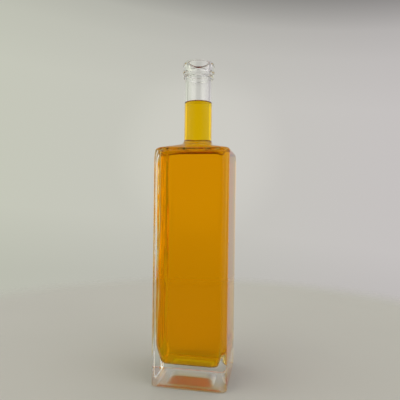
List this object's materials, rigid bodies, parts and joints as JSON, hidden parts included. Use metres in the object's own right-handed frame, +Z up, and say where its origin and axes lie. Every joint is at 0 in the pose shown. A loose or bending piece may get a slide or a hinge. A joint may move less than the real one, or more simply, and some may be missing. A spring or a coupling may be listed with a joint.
{
  "type": "liquor bottle",
  "caption": "Tall square clear glass liquor bottle with a heavy base, a round neck and an open rounded lip, filled with amber spirit to half way up the neck.",
  "frame": {"origin": "middle of the foot, on the surface that the bottle stands on", "axes": "+Z up along the neck, -Y out of the front face, +X to the right seen from the front"},
  "size_m": [0.07, 0.07, 0.3065],
  "materials": {
    "clear_glass": "polished, colourless",
    "amber_spirit": "clear amber liquid"
  },
  "bodies": {
    "root": {"glass_bottle": "clear_glass", "drink": "amber_spirit"}
  },
  "joints": []
}
